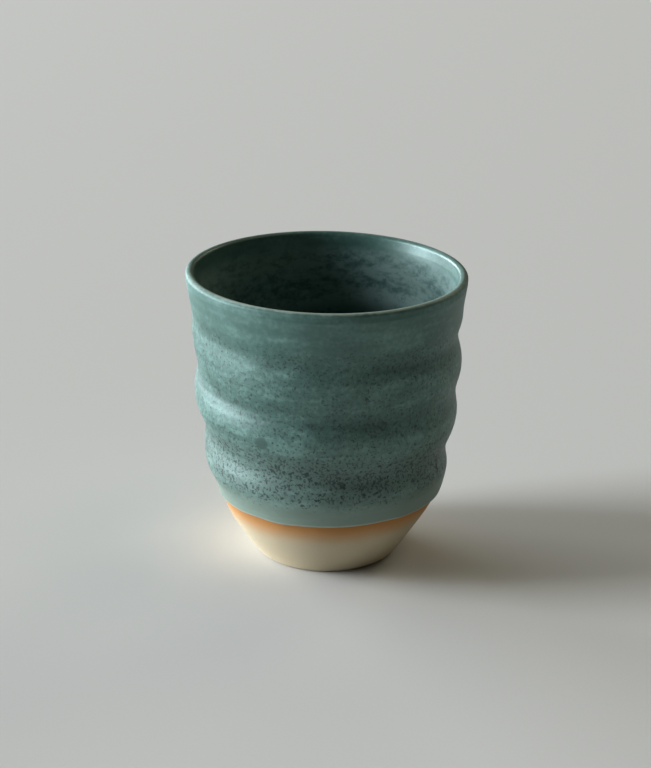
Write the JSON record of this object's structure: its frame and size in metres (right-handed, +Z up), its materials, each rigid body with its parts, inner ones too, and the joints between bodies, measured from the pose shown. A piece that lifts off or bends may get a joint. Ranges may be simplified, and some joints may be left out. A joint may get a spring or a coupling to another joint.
{
  "type": "cortado cup",
  "caption": "Handleless wheel-thrown stoneware cup with a flared lip, throwing rings, satin blue-green glaze and a bare trimmed foot, for a short milk coffee.",
  "frame": {"origin": "centre of the foot, on the surface that the cup stands on", "axes": "+Z up along the axis on which the cup was thrown, out through its mouth; X and Y level"},
  "size_m": [0.072, 0.072, 0.077],
  "materials": {
    "bare_clay": "matte",
    "outer_glaze": "satin",
    "inner_glaze": "satin",
    "rim_glaze": "satin",
    "toasted_clay": "matte"
  },
  "bodies": {
    "root": {"clay_body": "bare_clay", "outer_glaze": "outer_glaze", "inner_glaze": "inner_glaze", "rim_glaze": "rim_glaze", "flash_band": "toasted_clay"}
  },
  "joints": []
}
